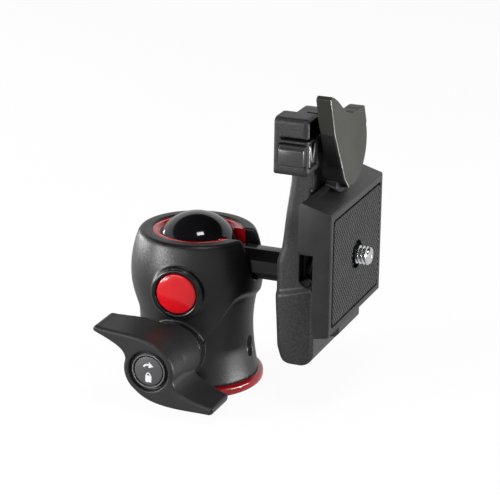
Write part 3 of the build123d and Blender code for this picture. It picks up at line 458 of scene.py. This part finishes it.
def turned(outline, centre, axis, closed=False, steps=96):
    """Turns an outline of (radius, height) points about an axis: a ring from a closed outline, and a disc
    from one that starts and ends on the axis."""
    shape = bmesh.new()
    corners = [shape.verts.new((r, 0, h)) for r, h in outline]
    nexts = corners[1:] + corners[:1] if closed else corners[1:]
    rim = [shape.edges.new((a, b)) for a, b in zip(corners, nexts)]
    bmesh.ops.spin(shape, geom=corners + rim, cent=(0, 0, 0), axis=(0, 0, 1), angle=2 * pi,
                   steps=steps, use_merge=True)
    bmesh.ops.remove_doubles(shape, verts=shape.verts, dist=fine_weld)
    bmesh.ops.recalc_face_normals(shape, faces=shape.faces)
    turn = Vector((0, 0, 1)).rotation_difference(Vector(axis)).to_matrix().to_4x4()
    bmesh.ops.transform(shape, matrix=Matrix.Translation(centre) @ turn, verts=shape.verts)
    return shape


def cut_beyond(shape, place, way):
    """Takes away what lies beyond a plane, and returns the rim of the cut."""
    cut = bmesh.ops.bisect_plane(shape, geom=shape.verts[:] + shape.edges[:] + shape.faces[:],
                                 plane_co=place, plane_no=way, clear_outer=True)
    return [g for g in cut["geom_cut"] if isinstance(g, bmesh.types.BMEdge)]


def ease(value):
    """0 below 0, 1 above 1, and smooth between."""
    value = min(1.0, max(0.0, value))
    return value * value * (3 - 2 * value)


def along(value, table):
    """The height of a table of (place, height) points at a place."""
    for (x0, y0), (x1, y1) in zip(table, table[1:]):
        if value <= x1:
            return y0 + (y1 - y0) * max(0.0, (value - x0) / (x1 - x0))
    return table[-1][1]


# ---------------------------------------------------------------- housing
# Height of the crease under the bowl at each angle from the knob's side, in degrees.
crease_line = [(0, 12), (20, 14.5), (32, 22.4), (39, 25.4), (46, 28.4), (51, 31.8), (57.6, 35.4),
               (65, 36.4), (72, 36.4), (93, 34.6), (130, 33), (180, 33)]
crease_width = 2.6
scoop_depth = 1.1
scoop_low_z, scoop_top_z = 8.0, 42
scoop_from_radius = 19.2
scoop_from_angle, scoop_angle_blend = 20, 12
bore_radius = 15.85
bore_low_z, bore_high_z = 20.5, 37.5


def carve_housing(shape):
    """The bowl and the knob's side stand proud of a shallow scoop above the flared foot."""
    knob_side = Vector((0, -1))
    for v in shape.verts:
        radius = sqrt(v.co.x ** 2 + v.co.y ** 2)
        if radius < scoop_from_radius or v.co.z > scoop_top_z:
            continue
        angle = degrees(abs(knob_side.angle_signed(v.co.xy, 0)))
        line_z = along(angle, crease_line)
        under = line_z - v.co.z
        if angle < scoop_from_angle or under < 0:
            continue
        depth = scoop_depth * ease(under / crease_width)
        depth *= ease((v.co.z - scoop_low_z) / (line_z - scoop_low_z))
        depth *= ease((angle - scoop_from_angle) / scoop_angle_blend)
        v.co.x -= depth * v.co.x / radius
        v.co.y -= depth * v.co.y / radius


def make_housing():
    """The cast housing with soft edges, and room in its bore for the cup to drop."""
    room = bmesh.new()
    bmesh.ops.create_cone(room, cap_ends=True, segments=96, radius1=bore_radius, radius2=bore_radius,
                          depth=bore_high_z - bore_low_z,
                          matrix=Matrix.Translation((0, 0, (bore_low_z + bore_high_z) / 2)))
    shape = cast_from("housing", [solid_of("housing")], voxel=0.46, rounds=2, cuts=[room])
    carve_housing(shape)
    fit_piece("cast_housing", shape, "housing", cast_black, stands_for=("housing",),
              crease=60)


make_housing()


# ---------------------------------------------------------------- badge
badge_turn = radians(5)
badge_out = Vector((sin(badge_turn), -cos(badge_turn), 0))
badge_centre = Vector((0, 0, 38.3)) + badge_out * 23.7


def make_badge():
    """A domed red disc, bare of any mark, in a dark bezel."""
    dome = turned([(0, 0.55), (2, 0.51), (3.6, 0.41), (5.0, 0.26), (6.2, 0.05), (6.8, -0.12), (7.02, -0.3),
                   (7.05, -0.6), (7.0, -1.6), (0, -1.6)], badge_centre, badge_out)
    fit_piece("badge_dome", dome, "housing", red_gloss, stands_for=("badge",), crease=50)
    bezel = turned([(7.32, -0.3), (7.36, 0.12), (7.6, 0.34), (8.0, 0.4), (8.4, 0.3), (8.75, 0.08),
                    (8.9, -0.3), (8.0, -0.5)], badge_centre, badge_out, closed=True)
    fit_piece("badge_bezel", bezel, "housing", neck_black, crease=50)


make_badge()


# ---------------------------------------------------------------- knob
knob_out = (0, -1, 0)
knob_centre = Vector((0, -42.2, knob_axis_z))
cap_centre = knob_centre + Vector((0, 0.76, 0))
trim_centre = knob_centre + Vector((0, 0.3, 0))
flare_centre_y = -27.7
cap_face_y = -41.82
mark_height = 0.06


def make_knob():
    """The winged knob, the groove round its cap, the cap and the thin ring between."""
    groove = turned([(4.2, -1.5), (4.2, 1), (7.15, 1), (7.15, -1.5)], knob_centre, knob_out, closed=True)
    flare = bmesh.new()
    bmesh.ops.create_cone(flare, cap_ends=True, segments=96, radius1=10.9, radius2=9.3, depth=9.8,
                          matrix=Matrix.Translation((0, flare_centre_y, knob_axis_z))
                          @ Matrix.Rotation(pi / 2, 4, "X"))
    body = cast_from("knob", [solid_of("knob"), flare], voxel=0.3, rounds=3, cuts=[groove])
    fit_piece("cast_knob", body, "knob", knob_black, stands_for=("knob",), crease=60)
    cap = turned([(0, 0.38), (4.7, 0.38), (5.02, 0.3), (5.1, 0.1), (5.1, -1.6), (0, -1.6)],
                 cap_centre, knob_out)
    fit_piece("cap_face", cap, "knob", cap_grey, stands_for=("knob_cap",), crease=40)
    trim = turned([(5.55, -1.6), (5.55, 0.0), (5.65, 0.12), (5.9, 0.12), (6.0, 0.0), (6.0, -1.6)],
                  trim_centre, knob_out, closed=True)
    fit_piece("cap_trim", trim, "knob", trim_grey, crease=40)


def band(shape, radius, width, start, sweep, centre):
    """Adds a flat band along an arc in the x-z plane."""
    others = set(shape.faces)
    turn = Matrix.Rotation(-start, 4, "Y")
    ends = [shape.verts.new(turn @ Vector((radius + side * width / 2, 0, 0))) for side in (-1, 1)]
    edge = shape.edges.new(ends)
    bmesh.ops.spin(shape, geom=ends + [edge], cent=(0, 0, 0), axis=(0, -1, 0), angle=sweep, steps=20)
    moved = {v for face in shape.faces if face not in others for v in face.verts}
    bmesh.ops.translate(shape, vec=centre, verts=list(moved))


def flat_patch(shape, x, z, half_x, half_z):
    """Adds a flat rectangle in the x-z plane."""
    bmesh.ops.create_grid(shape, x_segments=1, y_segments=1, size=1,
                          matrix=Matrix.Translation((x, 0, z)) @ Matrix.Rotation(pi / 2, 4, "X")
                          @ Matrix.Diagonal((half_x, half_z, 1, 1)))


def raised_mark(name, shape):
    """A mark drawn in the x-z plane, raised a little from the cap's face."""
    bmesh.ops.recalc_face_normals(shape, faces=shape.faces)
    thicken(shape, (0, -mark_height, 0))
    bmesh.ops.translate(shape, vec=(0, cap_face_y, knob_axis_z), verts=shape.verts)
    fit_piece(name, shape, "knob", mark_white, crease=30)


def make_lock_mark():
    """A curved arrow over a closed padlock."""
    arrow = bmesh.new()
    band(arrow, 2.1, 0.62, radians(83), radians(62), (-0.05, 0, 0.2))
    arrow.faces.new([arrow.verts.new(p) for p in ((0.15, 0, 3.2), (1.9, 0, 1.85), (0.1, 0, 1.1))])
    raised_mark("turn_mark", arrow)
    lock = bmesh.new()
    flat_patch(lock, 0, -2.75, 1.1, 1.2)
    band(lock, 0.62, 0.4, 0, pi, (0, 0, -1.3))
    for side in (-1, 1):
        flat_patch(lock, side * 0.62, -1.45, 0.2, 0.16)
    raised_mark("lock_mark", lock)


make_knob()
make_lock_mark()


# ---------------------------------------------------------------- platform
# Blocks cut from the platform, as two corners each.
ear_hollow = ((44, -24.6, 98.0), (50, -12.6, 104.4))
ear_slit = ((40.6, -27, 98.0), (50, -20, 99.0))
catch_way = ((39.35, -27.5, 89.65), (48.85, -17.6, 97.05))
catch_window = ((48.2, -25.0, 88.8), (50, -17.2, 97.2))
under_ear = ((36, -17, 77.5), (50, -14.0, 85.9))
bolt_pocket = ((36.8, -12.8, 44.6), (43, -6.4, 55.5))
platform_cuts = (ear_hollow, ear_slit, catch_way, catch_window, under_ear, bolt_pocket)

# A matt black sheet painted in as the shade of the hollow in the ear: its back, its far side, its top and
# its floor.
hollow_back = ((43.8, -24.7, 98.0), (44.4, -12.5, 104.4))
hollow_walls = (((44, -13.0, 98.0), (49.2, -12.5, 104.4)), ((44, -24.7, 103.9), (49.2, -12.5, 104.5)),
                ((44, -24.7, 97.9), (49.2, -12.5, 98.4)))

ear_low, ear_high, ear_round = Vector((33.62, -26, 86)), Vector((49.4, 40, 105.4)), 1.9
ear_to_y, ear_from_z = -15.6, 85.9
rib_half_y = 14.0
rib_round = 2.8
rib_flat_y = 11
rib_top_z = 84.5
side_from_y, side_blend = 9, 4
barrel_depth = 1.3
barrel_from_x, barrel_run = 38.0, 8.5
barrel_top_z, barrel_blend = 72, 10
waist_depth = 1.3
waist_to_x = 46.5
waist_top_z, waist_blend = 70, 13
foot_back_x, foot_back_z = 33.8, 38.6
foot_slope, foot_blend = 0.25, 2.4


def round_ear(shape):
    """The ear's corners are rounded as a casting's are."""
    low, high = ear_low + Vector([ear_round] * 3), ear_high - Vector([ear_round] * 3)
    for v in shape.verts:
        if v.co.y > ear_to_y or v.co.z < ear_from_z:
            continue
        core = Vector([min(max(c, a), b) for c, a, b in zip(v.co, low, high)])
        away = v.co - core
        if away.length > ear_round:
            v.co = core + away * (ear_round / away.length)


def round_rib(shape):
    """The rib's back edges are rounded."""
    back = {}
    for v in shape.verts:
        if abs(v.co.y) < rib_flat_y and v.co.z < rib_top_z + 0.5:
            level = int(v.co.z)
            back[level] = min(back.get(level, v.co.x), v.co.x)
    for v in shape.verts:
        if v.co.z >= rib_top_z or abs(v.co.y) < rib_half_y - rib_round:
            continue
        level = int(v.co.z)
        share = v.co.z - level
        back_x = back[level] * (1 - share) + back.get(level + 1, back[level]) * share
        away = Vector((v.co.x - back_x - rib_round, abs(v.co.y) - rib_half_y + rib_round))
        if away.x < 0 and away.length > rib_round:
            away *= rib_round / away.length
            v.co.x = back_x + rib_round + away.x
            v.co.y = (rib_half_y - rib_round + away.y) * (1 if v.co.y > 0 else -1)


def carve_platform(shape):
    """The sides fall away to the front, and are drawn in above the thick foot that holds the neck's bolt."""
    for v in shape.verts:
        on_side = side_from_y < abs(v.co.y) < rib_half_y + 0.5
        if on_side and v.co.x > barrel_from_x and v.co.z < barrel_top_z:
            share = min(1.0, (v.co.x - barrel_from_x) / barrel_run)
            fall = barrel_depth * share ** 2 * ease((barrel_top_z - v.co.z) / barrel_blend)
            side_y = rib_half_y - fall
            v.co.y = max(-side_y, min(side_y, v.co.y))
        if abs(v.co.y) < side_from_y or v.co.z > waist_top_z or v.co.x > waist_to_x:
            continue
        foot_z = foot_back_z + foot_slope * (v.co.x - foot_back_x)
        drawn = waist_depth * ease((v.co.z - foot_z) / foot_blend)
        drawn *= ease((waist_top_z - v.co.z) / waist_blend)
        drawn *= ease((abs(v.co.y) - side_from_y) / side_blend)
        v.co.y -= drawn * (1 if v.co.y > 0 else -1)


def make_platform():
    """The cast platform with soft edges, and a matt black sheet inside the hollow of its ear as painted
    shade.
    """
    shape = cast_from("platform", [solid_of("platform")], voxel=0.34, rounds=3,
                      cuts=[block(*cut) for cut in platform_cuts])
    round_ear(shape)
    round_rib(shape)
    carve_platform(shape)
    fit_piece("cast_platform", shape, "platform", cast_granular,
              stands_for=("platform",), crease=60)
    # A matt black sheet inside the ear's hollow: painted shade.
    lining = block(*hollow_back)
    for wall in hollow_walls:
        add_to(lining, block(*wall))
    fit_piece("hollow_painted_shade", lining, "platform", painted_shade_matt, crease=30, edge=0.1)


# ---------------------------------------------------------------- plate, pad and camera screw
rib_pitch = 1.3
rib_lean = (0.77, 0.64)
rib_depth = 0.4
# The ribs that lean the other way have this share of the first ones' depth.
rib_second = 0.8
# The wave's values at which a rib is lightest and darkest, and how dark its valleys are painted, as shade.
rib_crest, rib_valley, rib_shade_dark = -0.2, 0.9, 0.12
pad_half_y, pad_half_z = 23.05, 18.05
pad_front_x = 58.3
pad_hole, pad_corner = 4.9, 1.2
pad_rim_depth, pad_skirt_depth = 0.25, 1.5
pad_step = 0.175


def paint_rib_shade(paint):
    """The valleys between the pad's ribs are painted darker than their crests, as shade."""
    tree = paint.node_tree
    link = tree.links.new
    place = shader_node(tree, "TexCoord")
    centred = shader_node(tree, "VectorMath", {1: (0, 0, plate_centre_z * mm)}, operation="SUBTRACT")
    link(place.outputs["Object"], centred.inputs[0])
    deepest = shader_node(tree, "Math", operation="MAXIMUM")
    turn = 2 * pi / (rib_pitch * mm)
    for side, weight, socket in ((1, 1.0, 0), (-1, rib_second, 1)):
        run = shader_node(tree, "VectorMath", {1: (0, rib_lean[0] * turn, side * rib_lean[1] * turn)},
                          operation="DOT_PRODUCT")
        link(centred.outputs["Vector"], run.inputs[0])
        wave = shader_node(tree, "Math", operation="COSINE")
        link(run.outputs["Value"], wave.inputs[0])
        scaled = shader_node(tree, "Math", {1: weight}, operation="MULTIPLY")
        link(wave.outputs[0], scaled.inputs[0])
        link(scaled.outputs[0], deepest.inputs[socket])
    light = shader_node(tree, "MapRange", {"From Min": rib_crest, "From Max": rib_valley,
                                           "To Min": 1.0, "To Max": rib_shade_dark})
    link(deepest.outputs[0], light.inputs["Value"])
    shader = tree.nodes["Principled BSDF"]
    tint = shader_node(tree, "Mix", data_type="RGBA", blend_type="MULTIPLY")
    tint.inputs["Factor"].default_value = 1.0
    link(shader.inputs["Base Color"].links[0].from_socket, tint.inputs["A"])
    link(light.outputs["Result"], tint.inputs["B"])
    link(tint.outputs["Result"], shader.inputs["Base Color"])


def make_pad():
    """Rubber with fine crossed ribs."""
    shape = bmesh.new()
    bmesh.ops.create_grid(shape, x_segments=int(2 * pad_half_y / pad_step),
                          y_segments=int(2 * pad_half_z / pad_step), size=1,
                          matrix=Matrix.Diagonal((pad_half_y, pad_half_z, 1, 1)))
    inside = [v for v in shape.verts if v.co.length < pad_hole - pad_step]
    bmesh.ops.delete(shape, geom=inside, context="VERTS")
    turn = 2 * pi / rib_pitch
    for v in shape.verts:
        across, up = v.co.x, v.co.y
        over_y, over_z = abs(across) - (pad_half_y - pad_corner), abs(up) - (pad_half_z - pad_corner)
        if over_y > 0 and over_z > 0 and over_y ** 2 + over_z ** 2 > pad_corner ** 2:
            pull = pad_corner / sqrt(over_y ** 2 + over_z ** 2)
            v.co.x = (pad_half_y - pad_corner + over_y * pull) * (1 if across > 0 else -1)
            v.co.y = (pad_half_z - pad_corner + over_z * pull) * (1 if up > 0 else -1)
        if v.is_boundary and v.co.length < pad_hole + 1:
            v.co *= pad_hole / v.co.length
        elif not v.is_boundary:
            first = 0.5 + 0.5 * cos(turn * (across * rib_lean[0] + up * rib_lean[1]))
            second = 0.5 + 0.5 * cos(turn * (across * rib_lean[0] - up * rib_lean[1]))
            v.co.z = -rib_depth * max(first, rib_second * second) ** 2
        else:
            v.co.z = -pad_rim_depth
    bmesh.ops.recalc_face_normals(shape, faces=shape.faces)
    rim = [e for e in shape.edges if e.is_boundary]
    skirt = bmesh.ops.extrude_edge_only(shape, edges=rim)["geom"]
    for v in (g for g in skirt if isinstance(g, bmesh.types.BMVert)):
        v.co.z = -pad_skirt_depth
    stand = Matrix(((0, 0, 1, pad_front_x), (1, 0, 0, 0), (0, 1, 0, plate_centre_z), (0, 0, 0, 1)))
    bmesh.ops.transform(shape, matrix=stand, verts=shape.verts)
    # The valleys between the ribs are painted darker, as shade.
    paint_rib_shade(pad_rubber)
    fit_piece("ribbed_pad", shape, "plate", pad_rubber, stands_for=("plate_pad",), crease=60)


def make_camera_screw():
    """The camera screw with its real thread, and its stem in the pad's hole painted black as shade."""
    pitch, crest, root, start_x, end_x = 1.27, 3.17, 2.6, 58.6, 62.5
    stem_end_x, tip_x = 58.7, 62.1
    steps = 64
    thread = bmesh.new()
    outline = []
    for tooth in range(int((end_x - start_x) / pitch) + 3):
        x = start_x - pitch + tooth * pitch
        outline += [(x, root), (x + 0.14 * pitch, root), (x + 0.47 * pitch, crest),
                    (x + 0.6 * pitch, crest), (x + 0.93 * pitch, root)]
    corners = [thread.verts.new((x, 0, r)) for x, r in outline]
    edges = [thread.edges.new((a, b)) for a, b in zip(corners, corners[1:])]
    bmesh.ops.spin(thread, geom=corners + edges, cent=(0, 0, 0), axis=(1, 0, 0), angle=2 * pi,
                   steps=steps, dvec=(pitch / steps, 0, 0), use_merge=False)
    bmesh.ops.remove_doubles(thread, verts=thread.verts, dist=coarse_weld)
    for place, way in ((start_x, -1), (end_x, 1)):
        rim = cut_beyond(thread, (place, 0, 0), (way, 0, 0))
        bmesh.ops.contextual_create(thread, geom=rim)
    bmesh.ops.recalc_face_normals(thread, faces=thread.faces)
    bmesh.ops.translate(thread, vec=(0, 0, plate_centre_z), verts=thread.verts)
    tip = turned([(0, 0), (2.6, 0), (2.85, 0.25), (2.85, 0.8), (2.6, 1.1), (1.6, 1.1), (1.5, 1.0), (0, 1.0)],
                 Vector((tip_x, 0, plate_centre_z)), (1, 0, 0), steps=steps)
    add_to(thread, tip)
    fit_piece("threaded_screw", thread, "camera_screw", chrome,
              stands_for=("camera_screw",), crease=40)
    # The stem in the pad's hole, painted black as shade.
    stem = solid_of("camera_screw")
    cut_beyond(stem, (stem_end_x, 0, 0), (1, 0, 0))
    holes = [e for e in stem.edges if e.is_boundary]
    bmesh.ops.contextual_create(stem, geom=holes)
    fit_piece("screw_stem", stem, "camera_screw", painted_shade_black, crease=40)


# ---------------------------------------------------------------- lever
# The lines of the lever's ridge and of its far side, as (z, y).
ridge_line = [(76, -5.0), (78.4, -6.7), (82.4, -11.0), (88, -14.5), (94, -18.3), (100.8, -22.4),
              (113.4, -27.2)]
far_line = [(76, -2), (80, 6), (84, 9.5), (97.4, 9.7), (103.2, 7.2), (114, 3)]
face_from_x, face_blend = 54, 2.5
lever_hollow = 0.5
hollow_from_z, hollow_blend = 79, 14
# Shares of the way from the ridge to the far side: where the hollow is deep, where it ends, and its rise.
hollow_deep, hollow_end, hollow_rise = 0.6, 1.05, 0.5
# The black sheet over the lever's lower hub, painted shade: where it ends at the front and the top, and how
# far it stands out from the lever.
cheek_front_x = 56.1
cheek_top_z = 100.2
cheek_proud = 0.15
# Where the bright strip along the ridge, a painted highlight, stands.
glint_low_x, glint_high_x = 56.5, 57.0


def carve_lever(shape):
    """The face of the lever is hollowed a little between its ridge and its far side."""
    for v in shape.verts:
        if v.co.x < face_from_x:
            continue
        near_y, far_y = along(v.co.z, ridge_line), along(v.co.z, far_line)
        share = (v.co.y - near_y) / (far_y - near_y)
        depth = lever_hollow * ease(share / hollow_deep) * ease((hollow_end - share) / hollow_rise)
        depth *= ease((v.co.z - hollow_from_z) / hollow_blend)
        v.co.x -= depth * ease((v.co.x - face_from_x) / face_blend)


def make_lever():
    """The cast lever: a ridge, a hollowed face, the horn with its dip, a black sheet over the hub as painted
    shade, and a bright strip along the ridge as a painted highlight.
    """
    shape = cast_from("lever", [solid_of("lever")], voxel=0.26, rounds=3)
    # A copy of the lever, cut back below the ridge and drawn out a little, is painted black over the hub as
    # shade.
    cheek = shape.copy()
    carve_lever(shape)
    fit_piece("cast_lever", shape, "lever", lever_grey, stands_for=("lever",), crease=60)
    for place, way in (((cheek_front_x, 0, 0), (1, 0, 0)), ((0, 0, cheek_top_z), (0, 0, 1))):
        rim = cut_beyond(cheek, place, way)
        bmesh.ops.triangle_fill(cheek, use_beauty=True, edges=rim)
    bmesh.ops.recalc_face_normals(cheek, faces=cheek.faces)
    cheek.normal_update()
    for v in cheek.verts:
        v.co += cheek_proud * v.normal
    fit_piece("lever_painted_shade", cheek, "lever", painted_shade_black, crease=60)
    # A thin bright metal strip along the ridge: a painted highlight.
    near = [(y + 0.1, z) for z, y in ridge_line[1:]]
    far = [(y + 0.5, z + 0.1) for z, y in reversed(ridge_line[1:])]
    glint = flat_plate(near + far, glint_low_x, glint_high_x)
    fit_piece("ridge_glint", glint, "lever", painted_highlight_metal, crease=30, edge=0.1)


# ---------------------------------------------------------------- catch and springs
tab_low, tab_high = (39.62, -28.2, 89.95), (48.58, -26.0, 96.78)
tab_middle = Vector((44, -27, 93))
# How far the tab's thumb face draws in: at its top, its floor, its back and its front.
tab_top_in, tab_floor_in, tab_back_in, tab_front_in = 1.2, 0.1, 0.1, 0.25


def make_catch_leaf():
    """The bent leaf of spring steel beside the catch."""
    leaf = flat_plate([(-24.3, 89.4), (-23.5, 89.0), (-23.5, 96.6), (-24.3, 96.6)], 48.75, 49.3)
    fold = flat_plate([(-22.6, 91.4), (-21.4, 90.2), (-20.4, 90.0), (-19.2, 91.2), (-18.4, 93.4),
                       (-18.2, 96.0), (-19.0, 96.2), (-19.6, 93.8), (-20.4, 92.0), (-21.2, 92.0),
                       (-21.9, 93.0), (-22.2, 95.6), (-23.0, 95.6)], 48.7, 49.2)
    add_to(leaf, fold)
    fit_piece("catch_leaf", leaf, "platform", steel, crease=30, edge=0.1)


def make_catch_tab():
    """The thumb tab of the safety catch, proud of its pocket and falling away at its top."""
    tab = block(tab_low, tab_high)
    for v in tab.verts:
        if v.co.y < tab_middle.y:
            v.co.z += tab_floor_in if v.co.z < tab_middle.z else -tab_top_in
            v.co.x += tab_back_in if v.co.x < tab_middle.x else -tab_front_in
    fit_piece("catch_tab", tab, "safety_catch", tab_grey, edge=0.55)


def make_spring(node):
    """A coil spring from its CAD node, riding on the platform, with a mesh of its own."""
    piece = fit_piece(node + "_coil", solid_of(node), "platform", steel, stands_for=(node,),
                      crease=40)
    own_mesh(piece)


make_platform()
softened("plate", "plate", plate_grey, 0.35)
make_pad()
make_camera_screw()
softened("neck", "platform", neck_black, 0.25)
make_lever()
make_catch_leaf()
make_catch_tab()
make_spring("catch_spring")
make_spring("trigger_spring")
softened("safety_catch", "safety_catch", plate_grey, 0.3)
softened("collar_ring", "housing", red_gloss, 0.25)


# ---------------------------------------------------------------- finish
def corners(box):
    """A box as plain lists of numbers."""
    return [[round(value, 6) for value in corner] for corner in box]
